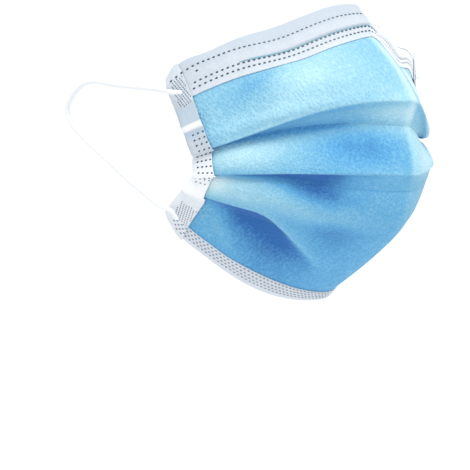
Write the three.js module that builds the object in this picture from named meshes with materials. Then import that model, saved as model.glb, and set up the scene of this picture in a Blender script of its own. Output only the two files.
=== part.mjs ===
// Pleated surgical face mask with folded edge bands and two round ear loops, opened out as it is worn.
// Millimetres. +Z is up, the front of the mask faces -Y, and the wearer's right is -X.
// The origin is the middle of the face opening, level with the rearmost corners of the side bands.
import * as THREE from "three";

// Overall sizes of the worn form
const OPENING_HALF_WIDTH = 58;
const NOSE_RIDGE_DEPTH = 83;
const HALF_HEIGHT = 60;

// Swells and folds push the cloth straight away from this depth behind the ridge
const SWELL_CENTRE_DEPTH = 12.5;

// Cloth and edge bands
const CLOTH_THICKNESS = 1.0;
const BAND_THICKNESS = 1.0;
const LAYER_GAP = 0.3;
const SIDE_LAYER_GAP = 0.5;
const INNER_BEND_SHARE = 0.9;
const RIDGE_ROUNDING = 0.06;
const RIDGE_SWELL_REACH = 0.4;

// Positions across the sheet, from 0 on the ridge to 1 at the side edge
const SIDE_BAND_START = 0.9;
const SIDE_BAND_BACK_END = 0.935;
const BUTT_GAP = 0.006;

// Mesh columns from side to side
const PANEL_COLUMNS = 40;
const BAND_COLUMNS = 36;

// Nose wire pocket, a raised strip along the top band
const POCKET_HEIGHT = 0.9;
const POCKET_REACH = 0.6;
const POCKET_TOP = 0.3;
const POCKET_FOOT = 0.72;
const POCKET_END = 0.06;

// Ear loops
const LOOP_DIAMETER = 1.8;
const LOOP_SIDES = 8;
const LOOP_STEPS = 56;

// Colours read from the photograph
const BLUE_CLOTH = 0x8fcfee;
const WHITE_BAND = 0xe4eaf0;
const WHITE_ELASTIC = 0xededed;

// Turns rows into objects that carry the names of their columns.
function table(columns, rows) {
  return rows.map((row) => Object.fromEntries(columns.map((column, i) => [column, row[i]])));
}

// Lines that run from side to side, from the top edge down to the bottom edge. Each has three stations:
// on the nose ridge, half way out and at the side edge. Out is a share of OPENING_HALF_WIDTH, forward
// of NOSE_RIDGE_DEPTH and up of HALF_HEIGHT. Left drop is how far the wearer's left half sags lower.
const RAILS = table(
  [
    "line", "ridgeForward", "ridgeUp", "midOut", "midForward", "midUp",
    "sideOut", "sideForward", "sideUp", "leftDrop",
  ],
  [
    ["top edge", 0.57, 0.93, 0.55, 0.4, 0.78, 1.07, 0.136, 0.48, 0.16],
    ["top hem", 0.69, 0.73, 0.53, 0.54, 0.57, 1.02, 0.18, 0.315, 0.1],
    ["crest 1", 0.99, 0.37, 0.49, 0.69, 0.3, 0.95, 0.26, 0.035, 0.1],
    ["valley 1", 0.94, 0.21, 0.49, 0.62, 0.2, 0.93, 0.24, 0.015, 0.06],
    ["crest 2", 1.0, -0.08, 0.53, 0.69, -0.08, 0.93, 0.25, -0.12, 0.0],
    ["valley 2", 0.97, -0.19, 0.53, 0.65, -0.16, 0.9, 0.22, -0.14, 0.0],
    ["crest 3", 0.91, -0.41, 0.495, 0.56, -0.38, 0.95, 0.18, -0.23, 0.0],
    ["valley 3", 0.79, -0.57, 0.45, 0.47, -0.51, 0.92, 0.15, -0.25, 0.0],
    ["bottom hem", 0.4, -0.94, 0.47, 0.256, -0.78, 0.96, 0.07, -0.38, 0.0],
    ["bottom edge", 0.35, -1.0, 0.47, 0.19, -0.88, 0.96, 0.03, -0.44, 0.0],
  ],
);

// The cloth between two neighbouring lines: how many mesh rows, how far its middle swells outward and how
// much further it swells along the nose ridge.
const SECTIONS = table(
  ["from", "meshRows", "swell", "ridgeSwell"],
  [
    ["top edge", 3, 0.4, 0.0],
    ["top hem", 5, 1.6, 0.0],
    ["crest 1", 2, 0.0, 0.0],
    ["valley 1", 4, 1.0, 0.0],
    ["crest 2", 2, 0.0, 0.0],
    ["valley 2", 4, 0.8, 0.0],
    ["crest 3", 2, 0.0, 0.0],
    ["valley 3", 6, 1.0, 2.5],
    ["bottom hem", 2, 0.3, 0.0],
  ],
);

// Soft folds and dents. Down counts lines from the top edge, across runs from the ridge to the side,
// lean is the change of down along the fold and height is outward in millimetres.
const FOLDS = table(
  ["fold", "across", "down", "lean", "halfLength", "halfWidth", "height"],
  [
    ["hollow under pleat 3", 0.62, 7.35, -0.9, 0.2, 0.35, -4.5],
    ["soft ridge to the chin", 0.45, 7.1, -1.6, 0.28, 0.22, 2.2],
    ["cheek swell", 0.4, 1.55, 0.0, 0.3, 0.35, 1.6],
    ["dent by the top corner", 0.74, 1.5, 0.0, 0.12, 0.4, -1.6],
  ],
);

// Right ear loop from the upper weld to the lower weld, in millimetres.
const LOOP_POINTS = [
  [-58.4, -21.7, 24.1],
  [-59.9, -19.6, 23.8],
  [-61.6, -17.6, 23.4],
  [-63.2, -15.7, 22.8],
  [-63.5, -8.6, 24.2],
  [-64.6, -0.0, 24.3],
  [-65.6, 8.9, 24.3],
  [-66.6, 20.9, 24.4],
  [-67.3, 32.2, 24.6],
  [-67.7, 40.7, 22.0],
  [-68.0, 47.2, 17.0],
  [-68.1, 50.5, 11.7],
  [-67.7, 48.1, 7.1],
  [-66.9, 38.2, 0.9],
  [-65.8, 26.0, -5.0],
  [-64.2, 12.1, -12.0],
  [-62.4, 1.0, -17.3],
  [-60.9, -4.9, -20.5],
  [-58.1, -9.3, -22.5],
  [-56.9, -9.5, -24.1],
  [-55.8, -9.9, -25.7],
  [-54.7, -10.3, -27.4],
];

const LAST_LINE = RAILS.length - 1;

// The quadratic through a value at the ridge, half way out and at the side.
function throughThree(t, ridge, mid, side) {
  return ridge * (1 - t) * (1 - 2 * t) + 4 * mid * t * (1 - t) + side * t * (2 * t - 1);
}

// A point of one line. The ridge is rounded, so the two halves meet without an edge.
function railPoint(rail, across) {
  const span = Math.sqrt(1 + RIDGE_ROUNDING ** 2) - RIDGE_ROUNDING;
  const soft = (Math.sqrt(across ** 2 + RIDGE_ROUNDING ** 2) - RIDGE_ROUNDING) / span;
  const out = throughThree(Math.abs(across), 0, rail.midOut, rail.sideOut);
  const sag = across > 0 ? rail.leftDrop * Math.sin(Math.PI * Math.min(1, across)) : 0;
  return new THREE.Vector3(
    Math.sign(across) * out * OPENING_HALF_WIDTH,
    -throughThree(soft, rail.ridgeForward, rail.midForward, rail.sideForward) * NOSE_RIDGE_DEPTH,
    (throughThree(soft, rail.ridgeUp, rail.midUp, rail.sideUp) - sag) * HALF_HEIGHT,
  );
}

// How far the soft folds push the cloth outward.
function foldHeight(down, across) {
  const side = Math.abs(across);
  let height = 0;
  for (const fold of FOLDS) {
    const along = (side - fold.across) / fold.halfLength;
    const off = (down - fold.down - fold.lean * (side - fold.across)) / fold.halfWidth;
    height += fold.height * Math.exp(-along * along - off * off);
  }
  return height;
}

// A point in the middle of the cloth. Down runs from 0 at the top edge to LAST_LINE at the bottom edge
// and may pass both by a little, across from -1 to 1.
function clothPoint(down, across) {
  const section = Math.min(LAST_LINE - 1, Math.max(0, Math.floor(down)));
  const t = down - section;
  const point = railPoint(RAILS[section], across).lerp(railPoint(RAILS[section + 1], across), t);
  const inside = new THREE.Vector3(0, -SWELL_CENTRE_DEPTH, 0);
  const outward = point.clone().sub(inside).normalize();
  const belly = Math.max(0, 4 * t * (1 - t));
  const { swell, ridgeSwell } = SECTIONS[section];
  const body = swell * (1 - across ** 4) + ridgeSwell * Math.exp(-((across / RIDGE_SWELL_REACH) ** 2));
  return point.addScaledVector(outward, belly * body + foldHeight(down, across));
}

// The outward direction of the cloth, taken over a small patch so that it turns gently at a crease.
function clothNormal(down, across) {
  const stepDown = 0.12;
  const stepAcross = 0.012;
  const middle = Math.min(LAST_LINE, Math.max(0, down));
  const low = clothPoint(Math.min(LAST_LINE, middle + stepDown), across);
  const high = clothPoint(Math.max(0, middle - stepDown), across);
  const right = clothPoint(middle, across - stepAcross);
  const left = clothPoint(middle, across + stepAcross);
  return left.sub(right).cross(high.sub(low)).normalize();
}

// A point at a height above the middle of the cloth.
function liftedPoint(down, across, lift) {
  return clothPoint(down, across).addScaledVector(clothNormal(down, across), lift);
}

// Evenly spaced numbers, both ends included.
function evenly(from, to, steps) {
  return Array.from({ length: steps + 1 }, (unused, i) => from + ((to - from) * i) / steps);
}

// Six times the signed volume inside indexed triangles, negative when their faces point inwards.
function signedVolume(points, index) {
  let sum = 0;
  for (let i = 0; i < index.length; i += 3) {
    const [a, b, c] = [points[index[i]], points[index[i + 1]], points[index[i + 2]]];
    sum += a.dot(b.clone().cross(c));
  }
  return sum;
}

// A closed body through rings of points that all have the same even count. The first half of a ring is
// one face of the cloth and the second half is the other face, read backwards.
function sweptBody(rings) {
  const count = rings[0].length;
  const points = rings.flat();
  const index = [];
  for (let r = 0; r + 1 < rings.length; r++) {
    for (let i = 0; i < count; i++) {
      const j = (i + 1) % count;
      const here = r * count;
      const next = here + count;
      index.push(here + i, here + j, next + j, here + i, next + j, next + i);
    }
  }
  const last = (rings.length - 1) * count;
  for (let i = 0; i < count / 2 - 1; i++) {
    const j = count - 1 - i;
    index.push(i, j, j - 1, i, j - 1, i + 1);
    index.push(last + i, last + j - 1, last + j, last + i, last + i + 1, last + j - 1);
  }
  if (signedVolume(points, index) < 0) {
    index.reverse();
  }
  const geometry = new THREE.BufferGeometry();
  const position = points.flatMap((point) => point.toArray());
  geometry.setAttribute("position", new THREE.Float32BufferAttribute(position, 3));
  geometry.setIndex(index);
  geometry.computeVertexNormals();
  return geometry;
}

// Every mesh row of the cloth, as positions down the sheet.
function clothRows() {
  const rows = SECTIONS.flatMap((section, i) =>
    evenly(i, i + 1, section.meshRows).slice(0, -1),
  );
  return [...rows, LAST_LINE];
}

// The pleated cloth: its front and back faces, half the thickness away from the middle.
function pleatedPanel() {
  const rows = clothRows();
  const half = CLOTH_THICKNESS / 2;
  const rings = evenly(-1, 1, PANEL_COLUMNS).map((across) => {
    const front = rows.map((down) => liftedPoint(down, across, half));
    const back = rows.map((down) => liftedPoint(down, across, -half)).reverse();
    return [...front, ...back];
  });
  return sweptBody(rings);
}

// The outline of a band folded round an edge of the cloth. The outer leg runs from the hem to the edge, the
// outline turns round the edge and the inner leg ends behind the cloth. Places are positions on the sheet.
function foldedOutline({ hem, edge, outerBend, innerBend, backEnd, steps, gap }) {
  const near = CLOTH_THICKNESS / 2 + gap;
  const bend = near * INNER_BEND_SHARE;
  const far = near + BAND_THICKNESS;
  const leg = evenly(hem, edge, steps);
  const outer = [
    ...leg.map((along) => ({ along, lift: far })),
    { along: outerBend, lift: near },
    { along: outerBend, lift: -near },
    { along: edge, lift: -far },
    { along: backEnd, lift: -far },
  ];
  const inner = [
    ...leg.map((along) => ({ along, lift: near })),
    { along: innerBend, lift: bend },
    { along: innerBend, lift: -bend },
    { along: edge, lift: -near },
    { along: backEnd, lift: -near },
  ];
  return [...outer, ...inner.reverse()];
}

// The extra height of the top band over the nose wire.
function pocketLift(down, across) {
  const middle = (POCKET_TOP + POCKET_FOOT) / 2;
  const half = (POCKET_FOOT - POCKET_TOP) / 2;
  const body = Math.max(0, 1 - ((down - middle) / half) ** 4);
  const end = Math.min(1, Math.max(0, (POCKET_REACH - Math.abs(across)) / POCKET_END));
  return POCKET_HEIGHT * body * end;
}

// The white band over the top edge, with the raised nose wire pocket.
function topBand() {
  const outline = foldedOutline({
    hem: 1,
    edge: 0,
    outerBend: -0.08,
    innerBend: -0.02,
    backEnd: 0.33,
    steps: 8,
    gap: LAYER_GAP,
  });
  const reach = SIDE_BAND_START - BUTT_GAP;
  const rings = evenly(-reach, reach, BAND_COLUMNS).map((across) =>
    outline.map(({ along, lift }) => {
      const raised = lift > 0 ? pocketLift(along, across) : 0;
      return liftedPoint(along, across, lift + raised);
    }),
  );
  return sweptBody(rings);
}

// The white band over the bottom edge.
function bottomBand() {
  const outline = foldedOutline({
    hem: LAST_LINE - 1,
    edge: LAST_LINE,
    outerBend: LAST_LINE + 0.22,
    innerBend: LAST_LINE + 0.06,
    backEnd: LAST_LINE - 0.8,
    steps: 3,
    gap: LAYER_GAP,
  });
  const reach = SIDE_BAND_START - BUTT_GAP;
  const rings = evenly(-reach, reach, BAND_COLUMNS).map((across) =>
    outline.map(({ along, lift }) => liftedPoint(along, across, lift)),
  );
  return sweptBody(rings);
}

// The white band over a side edge, from the top corner to the bottom corner.
function sideBand(side) {
  const outline = foldedOutline({
    hem: SIDE_BAND_START,
    edge: 1,
    outerBend: 1.018,
    innerBend: 1.005,
    backEnd: SIDE_BAND_BACK_END,
    steps: 2,
    gap: SIDE_LAYER_GAP,
  });
  const rings = clothRows().map((down) =>
    outline.map(({ along, lift }) => liftedPoint(down, side * along, lift)),
  );
  return sweptBody(rings);
}

// A round elastic through the loop's points, on the wearer's right (-1) or left (1).
function earLoop(side) {
  const points = LOOP_POINTS.map(([x, y, z]) => new THREE.Vector3(-side * x, y, z));
  const path = new THREE.CatmullRomCurve3(points);
  const circle = new THREE.Shape();
  for (let i = 0; i < LOOP_SIDES; i++) {
    const turn = (2 * Math.PI * i) / LOOP_SIDES;
    const x = (LOOP_DIAMETER / 2) * Math.cos(turn);
    const y = (LOOP_DIAMETER / 2) * Math.sin(turn);
    if (i === 0) {
      circle.moveTo(x, y);
    } else {
      circle.lineTo(x, y);
    }
  }
  return new THREE.ExtrudeGeometry(circle, { steps: LOOP_STEPS, extrudePath: path });
}

function cloth(name, geometry, color, roughness) {
  const material = new THREE.MeshStandardMaterial({ color, roughness, metalness: 0 });
  material.side = THREE.DoubleSide;
  const mesh = new THREE.Mesh(geometry, material);
  mesh.name = name;
  return mesh;
}

const mask = new THREE.Group();
mask.name = "surgical_face_mask";
mask.add(
  cloth("pleated_panel", pleatedPanel(), BLUE_CLOTH, 0.85),
  cloth("top_band", topBand(), WHITE_BAND, 0.8),
  cloth("bottom_band", bottomBand(), WHITE_BAND, 0.8),
  cloth("side_band_right", sideBand(-1), WHITE_BAND, 0.8),
  cloth("side_band_left", sideBand(1), WHITE_BAND, 0.8),
  cloth("ear_loop_right", earLoop(-1), WHITE_ELASTIC, 0.75),
  cloth("ear_loop_left", earLoop(1), WHITE_ELASTIC, 0.75),
);

export default mask;
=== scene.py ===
"""Looks of the pleated face mask: fine cloth, folded white bands, weld dots, ear loops and a studio."""

import math

import bpy
import numpy as np
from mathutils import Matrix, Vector


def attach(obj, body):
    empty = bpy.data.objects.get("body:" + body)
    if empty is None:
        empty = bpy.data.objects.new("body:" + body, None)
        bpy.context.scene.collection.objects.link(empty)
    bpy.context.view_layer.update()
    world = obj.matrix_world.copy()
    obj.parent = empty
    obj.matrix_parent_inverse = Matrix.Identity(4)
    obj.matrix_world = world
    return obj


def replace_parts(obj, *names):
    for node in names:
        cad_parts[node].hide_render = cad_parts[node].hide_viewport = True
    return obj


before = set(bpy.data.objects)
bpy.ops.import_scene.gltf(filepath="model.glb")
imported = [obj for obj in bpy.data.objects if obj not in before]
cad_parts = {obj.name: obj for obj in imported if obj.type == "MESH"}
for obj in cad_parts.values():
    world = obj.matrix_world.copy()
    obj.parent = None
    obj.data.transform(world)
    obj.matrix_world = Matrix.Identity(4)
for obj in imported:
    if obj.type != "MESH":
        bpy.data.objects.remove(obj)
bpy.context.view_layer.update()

MM = 0.001
SIDES = ((-1, "right"), (1, "left"))

# Overall sizes of the worn form, as in the solids. The ridge's two are shares of the way to the side edge.
OPENING_HALF_WIDTH = 58 * MM
NOSE_RIDGE_DEPTH = 83 * MM
HALF_HEIGHT = 60 * MM
SWELL_CENTRE_DEPTH = 12.5 * MM
RIDGE_ROUNDING = 0.06
RIDGE_SWELL_REACH = 0.4

# The cloth laid flat, and a mean length from the ridge to the side edge as it is worn
FLAT_HALF_WIDTH = 87.5 * MM
FLAT_HEIGHT = 155 * MM
WORN_HALF_WIDTH = 84 * MM

# The cloth's wall and mesh. Its rows stand closer together by the lines.
PANEL_THICKNESS = 0.6 * MM
PANEL_END = 0.985
PANEL_COLUMNS = 241
ROW_CROWDING = 0.1
UV_UNIT_MM = 100

# The lowest pleat opens out softly near the ridge, between two places down the cloth.
CHIN_SOFTNESS = 0.55
CHIN_REACH = 0.42
CHIN_TOP = 5.2
CHIN_FOOT = 7.9
CHIN_FADE = 0.5
CHIN_WEIGHTS = ((-1, 1), (-0.5, 4), (0, 6), (0.5, 4), (1, 1))

# How sharply the cloth steps in and its painted shade sets in, and how wide the painted highlight's rim
# is: below its lines, in lines; at its edges, in millimetres
LIP_SHARPNESS = 0.06
SHADE_SHARPNESS = 0.025
EDGE_ROUNDING_MM = 1.0
RIM_WIDTH_MM = 0.8

# Spots that lie on one half fade within this share past the ridge.
RIDGE_BLEND = 0.02

# Rows turn inward at the corners, by lines, within a reach of the top and bottom edges.
TOP_CORNER_TURN = 0.19
BOTTOM_CORNER_TURN = 0.25
CORNER_REACH = 0.8

# White bands. Lifts are from the middle of the cloth to the middle of a band.
BAND_THICKNESS = 0.35 * MM
BAND_LIFT = 0.56 * MM
BAND_END = 0.94
BAND_COLUMNS = 421
SIDE_BAND_LIFT = 1.15 * MM
FOLD_STEPS = 9

# The side bands reach past the cloth's top and bottom edges, and their folded ends are pressed flat.
SIDE_PAST_TOP = 0.07
SIDE_PAST_FOOT = 0.16
END_TAPER = 0.4
END_WIDTH_SHARE = 0.1
END_PRESS = 0.7
PRESS_FROM = 0.3
PRESS_BLEND = 0.5

# The side bands step down where the upper pleat's layers end, and dip in a fine grid.
STEP_RISES_AT = 1.25
STEP_RISE = 0.3
STEP_FALLS_AT = 1.57
STEP_FALL = 0.03
STEP_HEIGHT = 0.9 * MM
GRID_DIP = 0.05 * MM
GRID_HALF_WAVES_PER_LINE = 7

# The nose wire's pocket: a raised strip of the top band, and the open seam along its lower edge
POCKET_HEIGHT = 0.9 * MM
POCKET_TOP = 0.30
POCKET_RISE = 0.12
POCKET_FOOT = 0.655
POCKET_FALL = 0.03
POCKET_END = 0.7
POCKET_END_SLOPE = 0.3
SEAM_DOWN = 0.662
SEAM_HALF_WIDTH = 0.016
SEAM_FROM = -0.7
SEAM_TO = 0.1
SEAM_TAPER_END = 0.72
SEAM_TAPER = 0.1
SEAM_TIP_SHARE = 0.15
SEAM_COLUMNS = 161
SEAM_THICKNESS = 0.1 * MM

# Weld dots
DOT_PITCH = 2.15 * MM
DOT_LENGTH = 1.15 * MM
DOT_WIDTH = 0.66 * MM
BOTTOM_DOT_LENGTH = 1.0 * MM
BOTTOM_DOT_WIDTH = 0.55 * MM
DOT_SIDES = 10
DOT_CLEARANCE = 0.1 * MM
DOT_DIP = 0.1 * MM
GRID_DOT_TURN = 0.25
PAST_THE_NOSE = 0.08
ODD_TOP_DOT = (0.46, -0.877)

# Tones of the white: the inner side, where weld rows press the band on the blue, and painted light on the
# far half
INNER_TONE = 0.85
PRESSED_TONE = 0.04
PRESSED_REACH = 0.12
FAR_HALF_PAINTED_LIGHT = 0.48
FAR_HALF_BLEND = 0.05

# Ear loops
LOOP_DIAMETER = 1.8 * MM
LOOP_END_SHARE = 0.75

# Materials. The scales of fibres and mottling are for one unit of the texture map.
PEBBLE_MM = 0.8
FIBRE_SCALE = 260
FIBRE_SHARE = 0.45
MOTTLE_SCALE = 14
CLOTH_ROUGHNESS = 0.75
CLOTH_SHEEN = 0.1
CLOTH_BUMP = 0.6
GRAIN_SHADE = 0.86
GRAIN_BUMP = 0.4
GRAIN_DEPTH = 0.1 * MM

# The camera looks at the mask from its right front, a little from above
CAMERA_AZIMUTH = math.radians(-40)
CAMERA_ELEVATION = math.radians(7)
CAMERA_DISTANCE = 650 * MM
CAMERA_TARGET = Vector((0, -45, 0)) * MM
AIM_LEFT = 43.5 * MM
AIM_DOWN = 32.7 * MM
CAMERA_LENS = 129.5
CAMERA_SENSOR = 36

# Studio, in metres and degrees
FLOOR_DEPTH = 0.14
FLOOR_HALF = 12.0
KEY_FROM = (-0.15, -0.45, 1.0)
KEY_STRENGTH = 1.9
KEY_SOFTNESS = 30
WORLD_COLOR = (0.93, 0.985, 1.05, 1)
WORLD_STRENGTH = 0.72


def table(columns, rows):
    """Rows of values as dictionaries that carry the names of their columns."""
    return [dict(zip(columns, row)) for row in rows]


# Lines from side to side, from the top edge down, each at the ridge, half way out and at the side edge.
# Out is a share of OPENING_HALF_WIDTH, forward of NOSE_RIDGE_DEPTH and up of HALF_HEIGHT. On the wearer's
# left half a line is lowered by its drop and drawn back by its flat, most of all half way out.
RAILS = table(
    (
        "line", "ridge_forward", "ridge_up", "mid_out", "mid_forward", "mid_up",
        "side_out", "side_forward", "side_up", "left_drop", "left_flat",
    ),
    (
        ("top edge", 0.57, 0.92, 0.55, 0.4, 0.765, 1.07, 0.136, 0.48, 0.08, 0.0),
        ("top hem", 0.69, 0.73, 0.53, 0.54, 0.57, 1.02, 0.18, 0.315, 0.1, 0.09),
        ("crest 1", 0.99, 0.37, 0.49, 0.69, 0.3, 0.95, 0.26, 0.035, 0.19, 0.02),
        ("valley 1", 0.94, 0.21, 0.49, 0.62, 0.2, 0.93, 0.24, 0.015, 0.14, 0.0),
        ("crest 2", 1.0, -0.08, 0.53, 0.69, -0.08, 0.93, 0.25, -0.12, 0.0, 0.0),
        ("valley 2", 0.97, -0.19, 0.53, 0.65, -0.16, 0.9, 0.22, -0.14, 0.0, 0.0),
        ("crest 3", 0.91, -0.41, 0.495, 0.56, -0.38, 0.95, 0.18, -0.23, 0.0, 0.01),
        ("valley 3", 0.79, -0.57, 0.45, 0.47, -0.51, 0.92, 0.15, -0.25, 0.0, 0.02),
        ("bottom hem", 0.4, -0.94, 0.47, 0.256, -0.78, 0.96, 0.07, -0.38, 0.0, 0.07),
        ("bottom edge", 0.35, -1.0, 0.47, 0.2, -0.865, 0.96, 0.035, -0.425, 0.0, 0.07),
    ),
)

# The cloth between two neighbouring lines: mesh rows, its swell outward in millimetres, and the
# step inward and the painted shade just below a folded edge, which fade towards the ridge.
SECTIONS = table(
    ("begins", "rows", "swell", "ridge_swell", "lip", "shade"),
    (
        ("top edge", 14, 0.4, 0.0, 0.0, 0.0),
        ("top hem", 30, 1.6, 0.0, 0.0, 0.0),
        ("crest 1", 24, 0.0, 0.0, 1.4, 0.06),
        ("valley 1", 18, 1.0, 0.0, 0.0, 0.0),
        ("crest 2", 24, 0.0, 0.0, 1.6, 0.0),
        ("valley 2", 16, 0.8, 0.0, 0.0, 0.0),
        ("crest 3", 24, 0.0, 0.0, 0.0, 0.0),
        ("valley 3", 30, 0.0, 0.3, 0.0, 0.0),
        ("bottom hem", 6, 0.3, 0.0, 0.0, 0.0),
    ),
)

# Soft folds and dents. Side is the half that carries the fold: -1 the wearer's right, 1 the left, 0 both.
# Down counts lines from the top edge, across runs from the ridge to the side,
# lean is the change of down along the fold and height is outward in millimetres.
FOLDS = table(
    ("fold", "side", "across", "down", "lean", "half_length", "half_width", "height"),
    (
        ("hollow under pleat 3", 0, 0.6, 7.25, -1.75, 0.24, 0.5, -1.5),
        ("pleat 1 stands proud", 0, 0.72, 2.0, 0.0, 0.3, 0.5, 0.9),
        ("depth below pleat 1", 0, 0.6, 3.0, 0.0, 0.35, 0.3, -1.6),
        ("ridge to the chin", 0, 0.4, 6.95, -2.2, 0.16, 0.3, 1.2),
        ("hollow past the chin ridge", 0, 0.3, 6.6, -1.5, 0.12, 0.4, -0.8),
        ("rib by the lower corner", 0, 0.77, 7.5, -3.5, 0.1, 0.22, 0.8),
        ("hollow under pleat 2", 0, 0.45, 4.75, -2.6, 0.2, 0.6, -1.5),
        ("roll below pleat 2", 0, 0.62, 5.45, -1.2, 0.28, 0.3, 1.5),
        ("dip between pleats 1 and 2", 0, 0.3, 3.45, 0.0, 0.25, 0.35, -1.3),
        ("roll at the side of pleat 2", 0, 0.78, 3.55, 0.0, 0.15, 0.4, 0.9),
        ("cheek swell", -1, 0.4, 1.55, 0.0, 0.3, 0.35, 1.6),
        ("dent by the top corner", 0, 0.76, 1.55, 1.0, 0.14, 0.35, -2.0),
        ("fold from the nose wire", 0, 0.6, 1.35, 2.3, 0.14, 0.22, 1.1),
        ("roll above pleat 1", 0, 0.62, 1.88, -0.25, 0.3, 0.1, 1.0),
        ("pinch past the nose", 1, 0.12, 0.0, 0.0, 0.07, 0.6, -3.0),
    ),
)

# Edges that the cloth folds over, each by places from the ridge to the side. Below an edge the cloth steps
# in and gets painted shade over a width, and above it a thin rim gets a painted highlight. Soft is how
# gradual that is, and drop is how far the edge lies below its line. Step, width, soft and drop are in
# millimetres.
EDGES = table(
    ("edge", "across", "down", "step", "width", "shade", "rim_highlight", "soft", "drop"),
    (
        ("crest 1", 0.0, 2.0, 0.0, 3.0, 0.0, 0.05, 0.3, 0.0),
        ("crest 1", 0.3, 2.0, 0.0, 3.0, -0.06, 0.16, 0.3, 0.0),
        ("crest 1", 0.6, 2.0, 0.0, 3.0, -0.12, 0.24, 0.3, 0.0),
        ("crest 1", 0.8, 2.0, 0.0, 1.5, -0.25, 0.24, 0.3, 0.0),
        ("crest 1", 0.93, 2.0, 0.0, 1.0, -0.2, 0.1, 0.3, 0.0),
        ("valley 1", 0.22, 3.0, 0.0, 1.5, 0.0, 0.0, 0.3, 0.0),
        ("valley 1", 0.36, 3.0, 0.0, 2.2, -0.3, 0.0, 0.3, 0.0),
        ("valley 1", 0.5, 3.0, 0.0, 3.0, -0.42, 0.0, 0.3, 0.0),
        ("valley 1", 0.67, 3.0, 0.0, 3.4, -0.45, 0.0, 0.3, 0.0),
        ("valley 1", 0.78, 3.0, 0.0, 2.2, -0.4, 0.0, 0.3, 0.0),
        ("valley 1", 0.92, 3.0, 0.0, 0.8, -0.25, 0.0, 0.3, 0.0),
        ("crest 2", 0.15, 4.0, 0.0, 9.0, 0.0, 0.08, 0.3, 0.0),
        ("crest 2", 0.28, 4.0, 0.0, 12.0, -0.1, 0.08, 0.3, 0.0),
        ("crest 2", 0.35, 4.0, 0.3, 14.0, -0.36, 0.1, 0.3, 0.0),
        ("crest 2", 0.42, 4.0, 0.6, 13.0, -0.54, 0.12, 0.3, 0.0),
        ("crest 2", 0.52, 4.0, 0.8, 9.8, -0.56, 0.14, 0.3, 0.0),
        ("crest 2", 0.6, 4.0, 0.8, 6.0, -0.5, 0.14, 0.3, 0.0),
        ("crest 2", 0.67, 4.0, 0.5, 3.8, -0.44, 0.12, 0.3, 0.0),
        ("crest 2", 0.76, 4.0, 0.2, 2.5, -0.36, 0.1, 0.3, 0.0),
        ("crest 2", 0.85, 4.0, 0.0, 1.0, -0.3, 0.05, 0.3, 0.0),
        ("pleat 3", 0.15, 6.0, 0.0, 6.0, 0.0, 0.0, 4.0, 34.5),
        ("pleat 3", 0.28, 6.0, 0.6, 8.0, -0.14, 0.1, 3.5, 25.4),
        ("pleat 3", 0.34, 6.0, 1.4, 9.0, -0.26, 0.16, 3.0, 20.8),
        ("pleat 3", 0.41, 6.0, 2.2, 11.0, -0.34, 0.2, 2.6, 16.0),
        ("pleat 3", 0.47, 6.0, 2.8, 12.0, -0.4, 0.2, 2.2, 12.6),
        ("pleat 3", 0.5, 6.0, 3.1, 12.5, -0.38, 0.19, 2.0, 10.6),
        ("pleat 3", 0.53, 6.0, 3.3, 13.0, -0.38, 0.18, 1.8, 8.3),
        ("pleat 3", 0.56, 6.0, 3.5, 14.0, -0.38, 0.16, 1.5, 5.9),
        ("pleat 3", 0.59, 6.0, 3.6, 14.0, -0.39, 0.14, 1.2, 3.8),
        ("pleat 3", 0.63, 6.0, 3.6, 14.0, -0.42, 0.12, 0.9, 1.6),
        ("pleat 3", 0.67, 6.0, 3.6, 14.0, -0.45, 0.1, 0.6, 0.4),
        ("pleat 3", 0.7, 6.0, 3.4, 13.0, -0.54, 0.1, 0.4, 0.0),
        ("pleat 3", 0.74, 6.0, 3.0, 12.0, -0.52, 0.08, 0.3, 0.0),
        ("pleat 3", 0.78, 6.0, 2.6, 9.0, -0.44, 0.07, 0.3, 0.0),
        ("pleat 3", 0.86, 6.0, 1.6, 4.0, -0.3, 0.06, 0.3, 0.0),
        ("pleat 3", 0.94, 6.0, 0.8, 1.5, -0.2, 0.0, 0.3, 0.0),
    ),
)

# Places where the cloth's edges and pleats rise or sag, in millimetres straight up.
WAVES = table(
    ("wave", "side", "across", "down", "half_length", "half_width", "up"),
    (
        ("upper corner stands up", 0, 0.9, 0.0, 0.09, 0.7, 2.0),
        ("edge rises to the corner", 0, 0.76, 0.3, 0.17, 1.1, 2.0),
        ("edge sags half way out", 0, 0.45, 0.5, 0.14, 1.0, -1.2),
        ("edge rises to the nose", 0, 0.14, 0.0, 0.1, 0.5, 0.6),
        ("pleat 1 sinks to the side", 0, 0.78, 2.0, 0.28, 0.45, -2.4),
        ("lower corner hangs", 0, 0.92, 9.0, 0.12, 0.8, -1.4),
        ("upper edge dips by the corner", 0, 0.8, 0.0, 0.15, 0.2, -1.6),
        ("left hem stands higher", 1, 0.75, 1.0, 0.28, 0.6, 3.5),
    ),
)

# Painted light and shade of the blue by the way the cloth faces, deeper where it faces down and paler
# where it faces up: (height of its outward direction, tone).
SLOPE_SHADING = ((-0.8, 0.27), (-0.3, 0.30), (0.3, 0.44), (0.5, 0.54), (0.75, 0.60))
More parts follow.
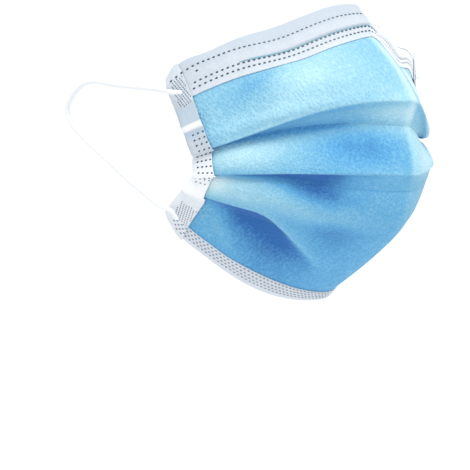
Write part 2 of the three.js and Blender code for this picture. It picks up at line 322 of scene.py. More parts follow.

# Painted shade (below 0) and painted light (above 0) on the blue, in hollows, under pleats, along creases
# and on the far side, added to the tone that its slope gives.
SHADE_AND_LIGHT_SPOTS = table(
    ("place", "side", "across", "down", "lean", "half_length", "half_width", "change"),
    (
        ("upper panel", 0, 0.5, 1.55, 0.0, 0.5, 0.75, 0.26),
        ("upper panel by the corner", 0, 0.82, 1.35, 1.6, 0.16, 0.35, -0.1),
        ("underside by the ridge", 0, 0.0, 2.5, 0.0, 0.24, 0.6, 0.36),
        ("middle of panel 2", 0, 0.26, 3.5, 0.0, 0.24, 0.38, -0.38),
        ("side of panel 2", 0, 0.8, 3.55, 0.0, 0.22, 0.32, 0.44),
        ("far side of panel 2", 1, 0.2, 3.5, 0.0, 0.25, 0.7, 0.74),
        ("side of panel 3", 0, 0.84, 5.35, -1.0, 0.2, 0.5, 0.4),
        ("roll below pleat 2", 0, 0.5, 5.62, -1.2, 0.25, 0.28, 0.2),
        ("crease of pleat 2", 0, 0.15, 4.98, 0.0, 0.22, 0.035, -0.14),
        ("far side of panel 3", 1, 0.15, 5.2, 0.0, 0.25, 1.2, 0.16),
        ("underside of pleat 1", 0, 0.5, 2.5, 0.0, 0.25, 0.35, 0.08),
        ("upper panel by the ridge", 0, 0.08, 1.5, 0.0, 0.24, 0.8, -0.2),
        ("hollow under pleat 3", 0, 0.61, 7.25, -1.75, 0.22, 0.45, -0.27),
        ("past the chin ridge", 0, 0.29, 6.6, -1.0, 0.13, 0.5, -0.24),
        ("rib by the lower corner", 0, 0.77, 7.5, -3.5, 0.12, 0.2, 0.12),
        ("cloth by the lower corner", 0, 0.88, 7.6, -3.0, 0.1, 0.4, 0.06),
        ("underside past the ridge", 1, 0.1, 2.5, 0.0, 0.25, 0.8, -0.17),
        ("underside beside the ridge", -1, 0.1, 2.45, 0.0, 0.16, 0.5, 0.2),
        ("panel 3 by the band", 0, 0.92, 5.1, 0.0, 0.07, 0.75, 0.6),
        ("lower panel", 0, 0.5, 8.0, 0.0, 0.6, 0.8, -0.1),
        ("deeper patch by the corner", 0, 0.68, 1.3, 1.2, 0.13, 0.3, -0.18),
        ("pale streak beside it", 0, 0.53, 1.58, 2.0, 0.14, 0.14, 0.08),
        ("deeper patch by the top band", 0, 0.6, 1.12, 0.6, 0.1, 0.16, -0.14),
        ("hollow of pleat 2 running down", 0, 0.37, 5.22, -1.2, 0.13, 0.16, -0.14),
        ("upper panel by the side band", 0, 0.88, 1.5, 0.0, 0.14, 0.4, 0.12),
        ("above pleat 1", 0, 0.5, 1.82, -0.1, 0.2, 0.14, 0.06),
        ("ridge line", 0, 0.0, 1.5, 0.0, 0.028, 0.7, 0.42),
        ("ridge line of the underside", -1, 0.0, 2.5, 0.0, 0.035, 0.5, 0.3),
        ("far side of the upper panel", 1, 0.5, 1.35, 0.0, 0.45, 0.7, 0.5),
    ),
)

# Right ear loop between its welds, in millimetres: the solids' route, with two points up to 1.1 mm off it.
LOOP_POINTS = (
    (-59.9, -19.6, 23.8),
    (-61.6, -17.6, 23.8),
    (-63.0, -15.5, 23.9),
    (-63.5, -8.6, 24.2),
    (-64.6, -0.0, 24.3),
    (-65.6, 8.9, 24.3),
    (-66.6, 20.9, 24.4),
    (-67.3, 32.2, 24.6),
    (-67.7, 40.7, 22.0),
    (-68.0, 47.2, 17.0),
    (-68.1, 50.5, 11.7),
    (-67.7, 48.1, 7.1),
    (-66.9, 38.2, 0.9),
    (-65.8, 26.0, -5.0),
    (-64.2, 12.1, -12.0),
    (-62.4, 1.0, -17.3),
    (-60.9, -4.9, -20.5),
    (-58.1, -9.3, -22.5),
    (-56.9, -9.5, -24.1),
    (-55.8, -9.9, -25.7),
)

# How far the left loop's first points sit further in, in millimetres.
LEFT_TUCK = (2.4, 2.2, 1.4, 0.4)

# Rows of weld dots along the top and bottom bands. Down counts lines, shift counts dots, dip is how far
# a row's dimples reach in lines and end is how far out the row goes.
TOP_ROWS = table(
    ("down", "shift", "dip", "end"),
    ((0.30, 0.0, 0.05, 0.985), (0.70, 0.3, 0.05, 0.925), (0.83, 0.8, 0.05, 0.925)),
)
BOTTOM_ROWS = table(
    ("down", "shift", "dip", "end"),
    (
        (8.12, 0.0, 0.08, 0.98),
        (8.31, 0.5, 0.08, 0.98),
        (8.50, 0.0, 0.08, 0.97),
        (8.69, 0.5, 0.08, 0.96),
    ),
)

# Where the side band's inner edge runs: (line, share of the way out).
SIDE_BAND_STARTS = ((0, 0.932), (2, 0.93), (3.5, 0.918), (5.5, 0.915), (9, 0.902))

# Tone of the side band down its length: (line, tone). It holds a painted highlight on the band's step at
# line 1.5 and painted shade just below it at line 1.62.
SIDE_SHADING = (
    (0, 0.55), (1.05, 0.5), (1.15, 0.25), (1.45, 0.3), (1.5, 1.0), (1.58, 0.9), (1.62, 0.0),
    (1.75, 0.4), (3.0, 0.6), (3.9, 0.85), (4.1, 1.15), (5.6, 1.05), (6.5, 0.75), (9, 0.65),
)

LAST_LINE = len(RAILS) - 1


def column(rows, name):
    """One column of a table."""
    return np.array([row[name] for row in rows])


def through_three(t, ridge, mid, side):
    """The quadratic through a value at the ridge, half way out and at the side."""
    return ridge * (1 - t) * (1 - 2 * t) + 4 * mid * t * (1 - t) + side * t * (2 * t - 1)


def rail_points(line, across):
    """Points of the lines with these numbers. The ridge is rounded."""
    span = math.hypot(1, RIDGE_ROUNDING) - RIDGE_ROUNDING
    soft = (np.hypot(across, RIDGE_ROUNDING) - RIDGE_ROUNDING) / span

    def value(name):
        return column(RAILS, name)[line]

    out = through_three(np.abs(across), 0, value("mid_out"), value("side_out"))
    mid_forward = value("mid_forward") - np.where(across > 0, value("left_flat"), 0)
    forward = through_three(soft, value("ridge_forward"), mid_forward, value("side_forward"))
    up = through_three(soft, value("ridge_up"), value("mid_up"), value("side_up"))
    sag = np.where(across > 0, value("left_drop") * np.sin(np.pi * np.clip(across, 0, 1)), 0)
    return np.stack(
        [
            np.sign(across) * out * OPENING_HALF_WIDTH,
            -forward * NOSE_RIDGE_DEPTH,
            (up - sag) * HALF_HEIGHT,
        ],
        axis=-1,
    )


def base_points(down, across):
    """Points of the flat strips between the lines."""
    section = np.clip(np.floor(down).astype(int), 0, LAST_LINE - 1)
    t = (down - section)[..., None]
    return rail_points(section, across) * (1 - t) + rail_points(section + 1, across) * t


def opened_points(down, across):
    """The strips, with the lowest pleat opened out smoothly towards the ridge."""
    reach = CHIN_SOFTNESS * np.exp(-((across / CHIN_REACH) ** 4))
    reach = reach * np.clip((down - CHIN_TOP) / CHIN_FADE, 0, 1)
    reach = reach * np.clip((CHIN_FOOT - down) / CHIN_FADE, 0, 1)
    whole = sum(weight for _, weight in CHIN_WEIGHTS)
    return sum(weight / whole * base_points(down + step * reach, across) for step, weight in CHIN_WEIGHTS)


RUN_ACROSS = np.linspace(0, 1, 101)
STRIP_LENGTHS = [
    np.linalg.norm(rail_points(i + 1, -RUN_ACROSS) - rail_points(i, -RUN_ACROSS), axis=-1) / MM
    for i in range(LAST_LINE)
]


def run_down(down, across):
    """Millimetres along the cloth from its top edge."""
    side = np.abs(across)
    return sum(
        np.interp(side, RUN_ACROSS, length) * np.clip(down - i, 0, 1)
        for i, length in enumerate(STRIP_LENGTHS)
    )


def spots(rows, measure, down, across):
    """The sum of soft oval spots, each turned by its lean."""
    side = np.abs(across)
    total = np.zeros(np.broadcast(down, across).shape)
    for row in rows:
        along = (side - row["across"]) / row["half_length"]
        off = (down - row["down"] - row["lean"] * (side - row["across"])) / row["half_width"]
        here = np.where(across * row["side"] >= 0, 1, np.exp(-((across / RIDGE_BLEND) ** 2)))
        total += here * row[measure] * np.exp(-along * along - off * off)
    return total


def edge_effects(down, across):
    """The step inward below the folded edges, in metres, and the change of tone about them: painted shade
    below them and a painted highlight on a rim above them.
    """
    side = np.abs(across)
    here = run_down(down, across)
    inward, change = 0.0, 0.0
    for name in dict.fromkeys(row["edge"] for row in EDGES):
        rows = [row for row in EDGES if row["edge"] == name]
        line, step, width, shade, rim_highlight, soft, drop = (
            np.interp(side, column(rows, "across"), column(rows, measure))
            for measure in ("down", "step", "width", "shade", "rim_highlight", "soft", "drop")
        )
        offset = here - run_down(line, across) - drop
        below = np.maximum(offset, 0)
        above = np.maximum(-offset, 0)
        fade = np.exp(-((below / width) ** 3))
        inward = inward + step * (1 - np.exp(-below / (EDGE_ROUNDING_MM + soft))) * fade
        change = change + shade * (1 - np.exp(-below / soft)) * fade
        change = change + rim_highlight * np.exp(-((below / soft) ** 2) - above / (RIM_WIDTH_MM + soft))
    return inward * MM, change


def fold_height(down, across):
    """How far the soft folds push the cloth outward, in metres."""
    return spots(FOLDS, "height", down, across) * MM - edge_effects(down, across)[0]


def wave_height(down, across):
    """How far the waves lift the cloth, in metres."""
    side = np.abs(across)
    height = np.zeros(np.broadcast(down, across).shape)
    for wave in WAVES:
        along = (side - wave["across"]) / wave["half_length"]
        off = (down - wave["down"]) / wave["half_width"]
        here = np.where(across * wave["side"] >= 0, 1, 0)
        height += here * wave["up"] * MM * np.exp(-along * along - off * off)
    return height


def cloth_points(down, across):
    """Points in the middle of the cloth, from 0 at the top edge to LAST_LINE and from -1 to 1 across."""
    down, across = np.broadcast_arrays(np.asarray(down, float), np.asarray(across, float))
    section = np.clip(np.floor(down).astype(int), 0, LAST_LINE - 1)
    t = (down - section)[..., None]
    points = opened_points(down, across)
    outward = points - np.array([0, -SWELL_CENTRE_DEPTH, 0])
    outward /= np.linalg.norm(outward, axis=-1, keepdims=True)
    belly = np.maximum(0, 4 * t[..., 0] * (1 - t[..., 0]))
    swell = column(SECTIONS, "swell")[section] * (1 - across**4)
    swell = swell + column(SECTIONS, "ridge_swell")[section] * np.exp(-((across / RIDGE_SWELL_REACH) ** 2))
    step = (1 - np.exp(-np.maximum(0, t[..., 0]) / LIP_SHARPNESS)) * (1 - t[..., 0])
    inward = column(SECTIONS, "lip")[section] * step * np.clip(6 * across**2, 0, 1) * (1 - across**8)
    push = (belly * swell - inward) * MM + fold_height(down, across)
    points = points + outward * push[..., None]
    points[..., 2] += wave_height(down, across)
    return points


def cloth_normals(down, across):
    """Outward directions of the cloth, taken over a small patch."""
    step_down, step_across = 0.12, 0.012
    down, across = np.broadcast_arrays(np.asarray(down, float), np.asarray(across, float))
    middle = np.clip(down, 0, LAST_LINE)
    low = cloth_points(np.minimum(LAST_LINE, middle + step_down), across)
    high = cloth_points(np.maximum(0, middle - step_down), across)
    right = cloth_points(middle, across - step_across)
    left = cloth_points(middle, across + step_across)
    normal = np.cross(left - right, high - low)
    return normal / np.linalg.norm(normal, axis=-1, keepdims=True)


def lifted(down, across, lift):
    """Points at a height above the middle of the cloth."""
    return cloth_points(down, across) + cloth_normals(down, across) * np.asarray(lift)[..., None]


# Meshes


def grid_normals(points):
    """Directions straight out of a grid of points, from each point's neighbours."""
    along = np.gradient(points, axis=0)
    side = np.gradient(points, axis=1)
    normal = np.cross(side, along)
    return normal / np.maximum(np.linalg.norm(normal, axis=-1, keepdims=True), 1e-12)


def thick_sheet(name, points, thickness, uv, outward_sign, tone=None, inner_tone=None):
    """A closed sheet through a grid of points. Faces of its back and rim get material 1."""
    rows, cols = points.shape[:2]
    normal = grid_normals(points) * outward_sign
    front = points + normal * thickness / 2
    back = points - normal * thickness / 2
    count = rows * cols
    vertices = np.concatenate([front.reshape(-1, 3), back.reshape(-1, 3)])
    index = np.arange(count).reshape(rows, cols)
    quads = np.stack([index[:-1, :-1], index[1:, :-1], index[1:, 1:], index[:-1, 1:]], -1).reshape(-1, 4)
    ring = np.concatenate([index[0, :-1], index[:-1, -1], index[-1, :0:-1], index[:0:-1, 0]])
    after = np.roll(ring, -1)
    rim = np.stack([ring, after, after + count, ring + count], -1)
    if outward_sign > 0:
        front_quads, back_quads, rim = quads[:, ::-1], quads + count, rim[:, ::-1]
    else:
        front_quads, back_quads = quads, quads[:, ::-1] + count
    faces = np.concatenate([front_quads, back_quads, rim])
    mesh = bpy.data.meshes.new(name)
    mesh.from_pydata(vertices.tolist(), [], faces.tolist())
    mesh.polygons.foreach_set("use_smooth", [True] * len(faces))
    kind = np.zeros(len(faces), np.int32)
    kind[len(front_quads):] = 1
    layer = mesh.uv_layers.new(name="cloth")
    corner = np.empty(len(mesh.loops), np.int32)
    mesh.loops.foreach_get("vertex_index", corner)
    flat = np.concatenate([uv.reshape(-1, 2), uv.reshape(-1, 2)])
    layer.data.foreach_set("uv", flat[corner].astype(np.float32).ravel())
    mesh.polygons.foreach_set("material_index", kind)
    if tone is not None:
        shade = mesh.attributes.new("tone", "FLOAT", "POINT")
        inner = tone.ravel() if inner_tone is None else np.full(tone.size, inner_tone)
        shade.data.foreach_set("value", np.concatenate([tone.ravel(), inner]).astype(np.float32))
    mesh.update()
    piece = bpy.data.objects.new(name, mesh)
    bpy.context.scene.collection.objects.link(piece)
    return piece


def cloth_rows():
    """Lines of the mesh, closer together by the folded edges."""
    rows = []
    for i, section in enumerate(SECTIONS):
        t = np.linspace(0, 1, section["rows"], endpoint=False)
        rows.append(i + t - ROW_CROWDING * np.sin(2 * np.pi * t))
    return np.append(np.concatenate(rows), LAST_LINE)


def sheet_uv(down, across):
    """Places on the flat cloth, in units of the texture map."""
    height = down / LAST_LINE * FLAT_HEIGHT
    return np.stack(np.broadcast_arrays(across * FLAT_HALF_WIDTH, -height), -1) / (UV_UNIT_MM * MM)


# Materials


def new_material(name, roughness):
    """A material with its nodes, its links and its surface node."""
    material = bpy.data.materials.new(name)
    material.use_nodes = True
    nodes = material.node_tree.nodes
    surface = nodes["Principled BSDF"]
    surface.inputs["Roughness"].default_value = roughness
    return material, nodes, material.node_tree.links, surface


def multiply_add(nodes, links, value, factor, added):
    """A value times a factor, plus another value."""
    total = nodes.new("ShaderNodeMath")
    total.operation = "MULTIPLY_ADD"
    total.inputs[1].default_value = factor
    links.new(value, total.inputs[0])
    links.new(added, total.inputs[2])
    return total.outputs["Value"]


def add_bump(nodes, links, surface, height, strength, depth):
    """Lets a height emboss the surface, to a depth in metres."""
    bump = nodes.new("ShaderNodeBump")
    bump.inputs["Strength"].default_value = strength
    bump.inputs["Distance"].default_value = depth
    links.new(height, bump.inputs["Height"])
    links.new(bump.outputs["Normal"], surface.inputs["Normal"])


def nonwoven(name, colors, bump_mm, mottling, graininess):
    """Thin nonwoven cloth: pebbled embossing, fine crossing fibres and soft mottling."""
    material, nodes, links, surface = new_material(name, CLOTH_ROUGHNESS)
    surface.inputs["Sheen Weight"].default_value = CLOTH_SHEEN
    surface.inputs["Sheen Roughness"].default_value = 0.5
    surface.inputs["Specular IOR Level"].default_value = 0.3
    place = nodes.new("ShaderNodeUVMap")
    place.uv_map = "cloth"
    pebbles = nodes.new("ShaderNodeTexVoronoi")
    pebbles.feature = "SMOOTH_F1"
    pebbles.inputs["Scale"].default_value = UV_UNIT_MM / PEBBLE_MM
    pebbles.inputs["Smoothness"].default_value = 0.6
    fibres = nodes.new("ShaderNodeTexNoise")
    fibres.inputs["Scale"].default_value = FIBRE_SCALE
    fibres.inputs["Detail"].default_value = 5
    mottle = nodes.new("ShaderNodeTexNoise")
    mottle.inputs["Scale"].default_value = MOTTLE_SCALE
    mottle.inputs["Detail"].default_value = 3
    for texture in (pebbles, fibres, mottle):
        links.new(place.outputs["UV"], texture.inputs["Vector"])
    pebble = pebbles.outputs["Distance"]
    relief = multiply_add(nodes, links, fibres.outputs["Fac"], FIBRE_SHARE, pebble)
    add_bump(nodes, links, surface, relief, CLOTH_BUMP, bump_mm * MM)
    # The tone attribute carries painted light and shade; the ramp below turns it into colour.
    tone = nodes.new("ShaderNodeAttribute")
    tone.attribute_name = "tone"
    mottled = multiply_add(nodes, links, mottle.outputs["Fac"], mottling, tone.outputs["Fac"])
    grained = multiply_add(nodes, links, pebble, graininess, mottled)
    top = colors[-1][0]
    share = nodes.new("ShaderNodeMath")
    share.operation = "DIVIDE"
    share.inputs[1].default_value = top
    links.new(grained, share.inputs[0])
    ramp = nodes.new("ShaderNodeValToRGB")
    first, last = ramp.color_ramp.elements
    first.position, last.position = colors[0][0] / top, 1
    first.color, last.color = (*colors[0][1], 1), (*colors[-1][1], 1)
    for place_on_ramp, color in colors[1:-1]:
        ramp.color_ramp.elements.new(place_on_ramp / top).color = (*color, 1)
    links.new(share.outputs["Value"], ramp.inputs["Fac"])
    links.new(ramp.outputs["Color"], surface.inputs["Base Color"])
    return material


def plain(name, color, roughness, grain_mm):
    """A fine-grained surface for dots, loops and the studio."""
    material, nodes, links, surface = new_material(name, roughness)
    place = nodes.new("ShaderNodeTexCoord")
    grain = nodes.new("ShaderNodeTexNoise")
    grain.inputs["Scale"].default_value = 1 / (grain_mm * MM)
    links.new(place.outputs["Object"], grain.inputs["Vector"])
    ramp = nodes.new("ShaderNodeValToRGB")
    ramp.color_ramp.elements[0].color = (*[GRAIN_SHADE * channel for channel in color], 1)
    ramp.color_ramp.elements[1].color = (*color, 1)
    links.new(grain.outputs["Fac"], ramp.inputs["Fac"])
    links.new(ramp.outputs["Color"], surface.inputs["Base Color"])
    add_bump(nodes, links, surface, grain.outputs["Fac"], GRAIN_BUMP, GRAIN_DEPTH)
    return material


# The blue runs from deep blue for painted shade at low tones to pale cyan for painted light at high tones.
blue_cloth = nonwoven(
    "blue_nonwoven",
    (
        (0.0, (0.03, 0.16, 0.46)),
        (0.4, (0.12, 0.42, 0.71)),
        (0.7, (0.28, 0.59, 0.76)),
        (1.0, (0.48, 0.77, 0.87)),
        (1.2, (0.62, 0.84, 0.91)),
        (1.6, (0.84, 0.95, 0.98)),
    ),
    bump_mm=0.6,
    mottling=0.12,
    graininess=0.24,
)
# The white's ramp from bluish grey to white follows the band tones, which carry painted light and shade as
# well as the bluer pressed rows.
white_cloth = nonwoven(
    "white_nonwoven",
    (
        (0.0, (0.40, 0.57, 0.70)),
        (0.5, (0.56, 0.61, 0.66)),
        (1.0, (0.97, 0.97, 0.98)),
    ),
    bump_mm=0.05,
    mottling=0.1,
    graininess=0.1,
)
weld_film = plain("weld_film", (0.04, 0.09, 0.12), roughness=0.4, grain_mm=0.5)
corner_weld = plain("corner_weld", (0.11, 0.18, 0.24), roughness=0.45, grain_mm=0.5)
pale_weld = plain("pale_weld", (0.20, 0.26, 0.33), roughness=0.45, grain_mm=0.5)
far_weld = plain("far_weld", (0.36, 0.41, 0.47), roughness=0.45, grain_mm=0.5)
# Blue of the cloth below the pocket's seam, darkened as painted shadow.
seam_blue_and_shadow = plain("seam_blue_and_shadow", (0.24, 0.46, 0.56), roughness=0.7, grain_mm=1.0)
elastic = plain("white_elastic", (0.99, 0.99, 0.99), roughness=0.8, grain_mm=0.35)
paper = plain("studio_paper", (0.93, 0.93, 0.93), roughness=0.9, grain_mm=40)


# Camera

backward = Vector(
    (
        math.sin(CAMERA_AZIMUTH) * math.cos(CAMERA_ELEVATION),
        -math.cos(CAMERA_AZIMUTH) * math.cos(CAMERA_ELEVATION),
        math.sin(CAMERA_ELEVATION),
    )
)
rightward = Vector((math.cos(CAMERA_AZIMUTH), math.sin(CAMERA_AZIMUTH), 0))
upward = backward.cross(rightward)
eye = CAMERA_TARGET + backward * CAMERA_DISTANCE
aim = CAMERA_TARGET - rightward * AIM_LEFT - upward * AIM_DOWN
camera_data = bpy.data.cameras.new("camera")
camera_data.lens = CAMERA_LENS
camera_data.sensor_width = CAMERA_SENSOR
camera = bpy.data.objects.new("camera", camera_data)
camera.location = eye
camera.rotation_euler = (aim - eye).to_track_quat("-Z", "Y").to_euler()
bpy.context.scene.collection.objects.link(camera)
bpy.context.scene.camera = camera


# Ear loops


def ear_loop(name, side):
    """A round elastic through the loop's points, on the wearer's right (-1) or left (1)."""
    points = [Vector((-side * x, y, z)) * MM for x, y, z in LOOP_POINTS]
    if side > 0:
        for point, inward in zip(points, LEFT_TUCK):
            point.x -= inward * MM
    curve = bpy.data.curves.new(name, "CURVE")
    curve.dimensions = "3D"
    curve.bevel_depth = LOOP_DIAMETER / 2
    curve.bevel_resolution = 5
    curve.resolution_u = 10
    curve.use_fill_caps = True
    spline = curve.splines.new("BEZIER")
    spline.bezier_points.add(len(points) - 1)
    for bezier, point in zip(spline.bezier_points, points):
        bezier.co = point
        bezier.handle_left_type = bezier.handle_right_type = "AUTO"
    spline.bezier_points[0].radius = spline.bezier_points[-1].radius = LOOP_END_SHARE
    curve.materials.append(elastic)
    loop = bpy.data.objects.new(name, curve)
    bpy.context.scene.collection.objects.link(loop)
    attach(loop, "root")
    return loop


for side, word in SIDES:
    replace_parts(ear_loop(f"elastic_loop_{word}", side), f"ear_loop_{word}")


# Pleated panel


def side_band_start(down):
    """Where the side band's inner edge runs, as a share of the way out."""
    turns, shares = np.array(SIDE_BAND_STARTS).T
    return np.interp(down, turns, shares)


def rounded_corner(down, share):
    """Rows that turn inward at the corners; share is the way across the side band."""
    turn = np.clip(share, 0, 1) ** 2
    down = down + TOP_CORNER_TURN * turn * np.clip(1 - down / CORNER_REACH, 0, 1)
    return down - BOTTOM_CORNER_TURN * turn * np.clip(1 - (LAST_LINE - down) / CORNER_REACH, 0, 1)


across = np.linspace(-PANEL_END, PANEL_END, PANEL_COLUMNS)[None, :]
down = cloth_rows()[:, None]
start = side_band_start(down)
down = rounded_corner(down, (np.abs(across) - start) / (1 - start))
across = across + 0 * down
# Painted light and shade of the blue: by the way the cloth faces, in spots, and below and above its folded
# edges.
slope = cloth_normals(down, across)[..., 2]
slope_turns, slope_shading = np.array(SLOPE_SHADING).T
section = np.clip(down.astype(int), 0, LAST_LINE - 1)
under = 1 - np.exp(-(down - section) / SHADE_SHARPNESS)
shade = column(SECTIONS, "shade")[section] * under * np.clip(4 * np.abs(across), 0.3, 1)
tone = np.interp(slope, slope_turns, slope_shading) + spots(SHADE_AND_LIGHT_SPOTS, "change", down, across) - shade
tone = tone + edge_effects(down, across)[1]
panel = thick_sheet(
    "pleated_cloth",
    cloth_points(down, across),
    PANEL_THICKNESS,
    sheet_uv(down, across),
    outward_sign=-1,
    tone=tone,
    inner_tone=INNER_TONE,
)
panel.data.materials.append(blue_cloth)
panel.data.materials.append(white_cloth)
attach(panel, "root")
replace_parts(panel, "pleated_panel")


# White bands


def pocket_lift(down, across):
    """Height of the nose wire's pocket, with a steep lower edge."""
    rise = np.clip((down - POCKET_TOP) / POCKET_RISE, 0, 1)
    fall = np.clip((POCKET_FOOT - down) / POCKET_FALL, 0, 1)
    ends = np.clip((POCKET_END - np.abs(across)) / POCKET_END_SLOPE, 0, 1)
    smooth = rise * rise * (3 - 2 * rise)
    return POCKET_HEIGHT * smooth * fall * ends


def weld_dip(down, across, rows):
    """Depth of the dimples at the weld dots of some rows, in metres."""
    dip = 0
    for row in rows:
        wave = 0.5 + 0.5 * np.cos(2 * np.pi * (across * FLAT_HALF_WIDTH / DOT_PITCH - row["shift"]))
        dip = dip + wave * np.exp(-(((down - row["down"]) / row["dip"]) ** 2))
    return DOT_DIP * dip


def top_extra(down, across):
    """How far the top band's pocket and dimples lift it, in metres."""
    return pocket_lift(down, across) - weld_dip(down, across, TOP_ROWS)


def bottom_extra(down, across):
    """How far the bottom band's dimples lift it, in metres: 0 or less."""
    return -weld_dip(down, across, BOTTOM_ROWS)


def side_extra(down, across):
    """How far a side band's step and grid lift it, in metres."""
    rise = np.clip((down - STEP_RISES_AT) / STEP_RISE, 0, 1)
    fall = np.clip((STEP_FALLS_AT - down) / STEP_FALL, 0, 1)
    grid = np.cos(np.pi * across * FLAT_HALF_WIDTH / (DOT_PITCH / 2))
    grid = grid * np.cos(np.pi * down * GRID_HALF_WAVES_PER_LINE)
    return STEP_HEIGHT * fall * rise + GRID_DIP * grid


def row_tone(rows, lightness, rise):
    """The band is a little bluer where its weld rows press it on the blue cloth, and paler on the far half
    past the ridge, which is painted light.
    """

    def tone(down, across):
        pressed = sum(np.exp(-(((down - row["down"]) / PRESSED_REACH) ** 2)) for row in rows)
        far_half_light = np.clip(across / FAR_HALF_BLEND, 0, 1)
        steady = lightness + rise * (down - rows[0]["down"])
        return steady - PRESSED_TONE * np.minimum(1, pressed) + FAR_HALF_PAINTED_LIGHT * far_half_light

    return tone


def fold_profile(hem, edge, bend, back_end, lift, steps, back_steps):
    """Places and heights from the hem round the edge to the end of the inner leg."""
    outer = [(hem + (edge - hem) * i / steps, lift) for i in range(steps + 1)]
    angles = np.linspace(0, math.pi, FOLD_STEPS)[1:-1]
    turn = [(edge + bend * math.sin(angle), lift * math.cos(angle)) for angle in angles]
    inner = [(edge + (back_end - edge) * i / back_steps, -lift) for i in range(back_steps + 1)]
    return outer + turn + inner


def profile_columns(profile):
    """The places and the heights of a profile, each as a column."""
    return np.array(profile).T[..., None]


def wrapped_band(name, profile, extra, outward_sign, tone):
    """A white band whose cross-section follows (place on the sheet, height above it)."""
    across = np.linspace(-BAND_END, BAND_END, BAND_COLUMNS)[None, :]
    place, lift = profile_columns(profile)
    height = lift + (lift > 0) * extra(place, across)
    shades = np.where(lift > 0, tone(place, across), INNER_TONE)
    place, across = np.broadcast_arrays(place, across)
    points = lifted(place, across, height)
    uv = sheet_uv(place, across)
    return thick_sheet(name, points, BAND_THICKNESS, uv, outward_sign, shades, INNER_TONE)


top_band = wrapped_band(
    "top_fold",
    fold_profile(hem=1.0, edge=0.0, bend=-0.03, back_end=0.33, lift=BAND_LIFT, steps=64, back_steps=8),
    top_extra,
    outward_sign=1,
    tone=row_tone(TOP_ROWS, lightness=0.44, rise=0.2),
)
bottom_band = wrapped_band(
    "bottom_fold",
    fold_profile(
        hem=LAST_LINE - 1,
        edge=LAST_LINE,
        bend=0.1,
        back_end=LAST_LINE - 0.8,
        lift=BAND_LIFT,
        steps=22,
        back_steps=6,
    ),
    bottom_extra,
    outward_sign=-1,
    tone=row_tone(BOTTOM_ROWS, lightness=0.58, rise=0.0),
)
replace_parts(top_band, "top_band")
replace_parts(bottom_band, "bottom_band")
bands = [top_band, bottom_band]

side_foot = LAST_LINE + SIDE_PAST_FOOT
side_rows = np.concatenate([[-SIDE_PAST_TOP], cloth_rows()[1:-1], [side_foot]])[None, :]
side_turns, side_shading = np.array(SIDE_SHADING).T
start = side_band_start(side_rows)
top_ends = np.clip((side_rows + SIDE_PAST_TOP) / END_TAPER, END_WIDTH_SHARE, 1)
ends = top_ends * np.clip((side_foot - side_rows) / END_TAPER, END_WIDTH_SHARE, 1)
share, lift = profile_columns(
    fold_profile(hem=0.0, edge=1.0, bend=0.2, back_end=0.45, lift=SIDE_BAND_LIFT, steps=14, back_steps=6)
)
pinch = 1 - END_PRESS * (1 - ends) * np.clip((share - PRESS_FROM) / PRESS_BLEND, 0, 1)
rows = rounded_corner(side_rows, share)
# The side band's tone down its length, with its painted highlight and shade at the step.
tone = np.where(lift > 0, np.interp(rows, side_turns, side_shading), INNER_TONE)
for side, word in SIDES:
    place = side * (start + (1 - start) * np.where(share > 1, 1 + (share - 1) * ends, share))
    height = (lift + (lift > 0) * side_extra(side_rows, place)) * pinch
    points = lifted(rows, place, height)
    band = thick_sheet(f"side_fold_{word}", points, BAND_THICKNESS, sheet_uv(rows, place), side, tone)
    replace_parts(band, f"side_band_{word}")
    bands.append(band)

for band in bands:
    band.data.materials.append(white_cloth)
    band.data.materials.append(white_cloth)
    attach(band, "root")


# Weld dots

# Fields of the side bands. Top and foot count lines, lean is in degrees and a stagger of 1 shifts every
# other row by half a gap. Gap, pitch, length and width are in millimetres.
SIDE_FIELDS = table(
    ("field", "top", "foot", "lean", "gap", "pitch", "stagger", "length", "width", "film"),
    (
        ("upper_corner", 0.36, 1.12, -14, 0.86, 0.82, 0, 0.58, 0.38, corner_weld),
        ("grid", 1.66, 3.95, 0, 1.7, 2.05, 0, 1.0, 0.6, weld_film),
        ("faint_grid", 4.15, 5.5, 0, 1.9, 1.6, 1, 0.8, 0.5, pale_weld),
        ("lower_corner", 7.35, 8.0, -14, 1.0, 0.85, 0, 0.6, 0.4, pale_weld),
    ),
)


def skin_lift(down, across):
    """Height of the weld dots over the middle of the cloth, just off the bands' outer skin."""
    on_side = np.abs(across) > side_band_start(down)
    across_band = np.where(down < LAST_LINE / 2, top_extra(down, across), bottom_extra(down, across))
    lift = np.where(on_side, SIDE_BAND_LIFT + side_extra(down, across), BAND_LIFT + across_band)
    return lift + BAND_THICKNESS / 2 + DOT_CLEARANCE


def weld_dots(name, down, across, length, width, material, turn=0.0):
    """Small flat ovals on the bands' outer skin."""
    half_step = 0.004
    lift = skin_lift(down, across)
    centre = lifted(down, across, lift)
    left = lifted(down, across + half_step, lift) - lifted(down, across - half_step, lift)
    left /= np.linalg.norm(left, axis=-1, keepdims=True)
    normal = cloth_normals(down, across)
    low = np.cross(left, normal)
    first = math.cos(turn) * left + math.sin(turn) * low
    second = np.cross(normal, first)
    angle = np.linspace(0, 2 * np.pi, DOT_SIDES, endpoint=False)[None, :, None]
    ring = centre[:, None] + first[:, None] * np.cos(angle) * length / 2
    ring = ring + second[:, None] * np.sin(angle) * width / 2
    faces = np.arange(len(down) * DOT_SIDES).reshape(-1, DOT_SIDES)
    mesh = bpy.data.meshes.new(name)
    mesh.from_pydata(ring.reshape(-1, 3).tolist(), [], faces.tolist())
    mesh.materials.append(material)
    mesh.update()
    piece = bpy.data.objects.new(name, mesh)
    bpy.context.scene.collection.objects.link(piece)
    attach(piece, "root")


def row_places(rows, odd=()):
    """Places of the dots of some rows, after a few odd ones."""
    places = list(odd)
    for row in rows:
        count = int(row["end"] * FLAT_HALF_WIDTH / DOT_PITCH) + 1
        for number in range(-count, count + 1):
            across = (number + row["shift"]) * DOT_PITCH / FLAT_HALF_WIDTH
            if abs(across) < row["end"]:
                places.append((row["down"], across))
    return np.array(places).T


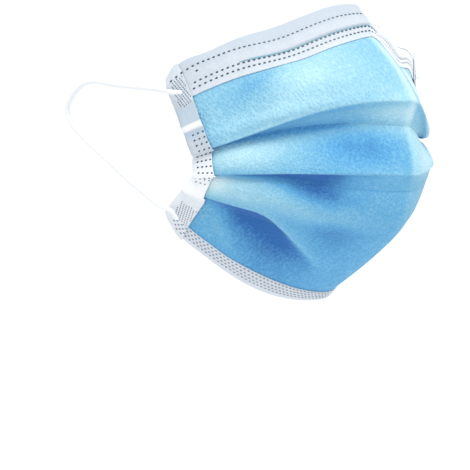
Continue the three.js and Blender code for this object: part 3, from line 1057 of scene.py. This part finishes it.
def field_places(field, side):
    """Dots of a field of the side band: lines that lean off the band's length."""
    first_out, first_down, least_out = 0.55, 0.4, 0.4
    measured_at, outermost = 0.96, 0.99
    measures, most_dots = 200, 40
    line = np.linspace(field["top"], field["foot"], measures)
    edge = cloth_points(line, np.full(measures, side * measured_at))
    run = np.concatenate([[0], np.cumsum(np.linalg.norm(np.diff(edge, axis=0), axis=1))]) / MM
    numbers = np.arange(-most_dots, most_dots)
    lane, rank = [grid.ravel() for grid in np.meshgrid(numbers, numbers)]
    lean = math.radians(field["lean"])
    over = lane * field["gap"] + 0.5 * field["gap"] * field["stagger"] * (rank % 2)
    out = over * math.cos(lean) + rank * field["pitch"] * math.sin(lean) + first_out
    far = rank * field["pitch"] * math.cos(lean) - over * math.sin(lean) + first_down
    down = np.interp(far, run, line)
    across = side_band_start(down) + out * MM / WORN_HALF_WIDTH
    keep = (far >= 0) & (far <= run[-1]) & (out > least_out) & (across < outermost)
    return down[keep], side * across[keep]


top_places = row_places(TOP_ROWS, [ODD_TOP_DOT])
past_nose = top_places[1] > PAST_THE_NOSE
weld_dots("top_weld_dots", *top_places[:, ~past_nose], DOT_LENGTH, DOT_WIDTH, weld_film)
weld_dots("far_weld_dots", *top_places[:, past_nose], DOT_LENGTH, DOT_WIDTH, far_weld)
weld_dots("bottom_weld_dots", *row_places(BOTTOM_ROWS), BOTTOM_DOT_LENGTH, BOTTOM_DOT_WIDTH, pale_weld)
for side, word in SIDES:
    for field in SIDE_FIELDS:
        weld_dots(
            f"{field['field']}_dots_{word}",
            *field_places(field, side),
            field["length"] * MM,
            field["width"] * MM,
            far_weld if side > 0 else field["film"],
            side * (math.pi / 2 if field["lean"] else GRID_DOT_TURN),
        )

# The pocket's lower seam shows the blue cloth below as a fine line, darkened as painted shadow under the
# pocket's edge.
seam_across = np.linspace(SEAM_FROM, SEAM_TO, SEAM_COLUMNS)[None, :]
taper = np.clip((SEAM_TAPER_END - np.abs(seam_across)) / SEAM_TAPER, SEAM_TIP_SHARE, 1)
seam_down = SEAM_DOWN + SEAM_HALF_WIDTH * taper * np.array([-1, 0, 1])[:, None]
seam_across = seam_across + 0 * seam_down
seam_lift = BAND_LIFT + BAND_THICKNESS / 2 + DOT_CLEARANCE + 0 * seam_down
seam_points = lifted(seam_down, seam_across, seam_lift)
seam_uv = sheet_uv(seam_down, seam_across)
seam = thick_sheet("pocket_seam", seam_points, SEAM_THICKNESS, seam_uv, outward_sign=-1)
seam.data.materials.append(seam_blue_and_shadow)
seam.data.materials.append(seam_blue_and_shadow)
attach(seam, "root")


# Studio

floor_mesh = bpy.data.meshes.new("floor")
floor_height = -HALF_HEIGHT - FLOOR_DEPTH
floor_corners = [
    (-FLOOR_HALF, -FLOOR_HALF, floor_height),
    (FLOOR_HALF, -FLOOR_HALF, floor_height),
    (FLOOR_HALF, FLOOR_HALF, floor_height),
    (-FLOOR_HALF, FLOOR_HALF, floor_height),
]
floor_mesh.from_pydata(floor_corners, [], [(0, 1, 2, 3)])
floor_mesh.materials.append(paper)
floor = bpy.data.objects.new("floor", floor_mesh)
bpy.context.scene.collection.objects.link(floor)


def sun(name, come_from, strength, soft_degrees):
    """A soft distant light from a direction."""
    data = bpy.data.lights.new(name, "SUN")
    data.energy = strength
    data.angle = math.radians(soft_degrees)
    lamp = bpy.data.objects.new(name, data)
    lamp.rotation_euler = Vector(come_from).to_track_quat("Z", "Y").to_euler()
    bpy.context.scene.collection.objects.link(lamp)


sun("key", KEY_FROM, KEY_STRENGTH, KEY_SOFTNESS)
world = bpy.data.worlds.new("studio")
world.use_nodes = True
background = world.node_tree.nodes["Background"]
background.inputs["Color"].default_value = WORLD_COLOR
background.inputs["Strength"].default_value = WORLD_STRENGTH
bpy.context.scene.world = world
bpy.context.scene.view_settings.view_transform = "Standard"
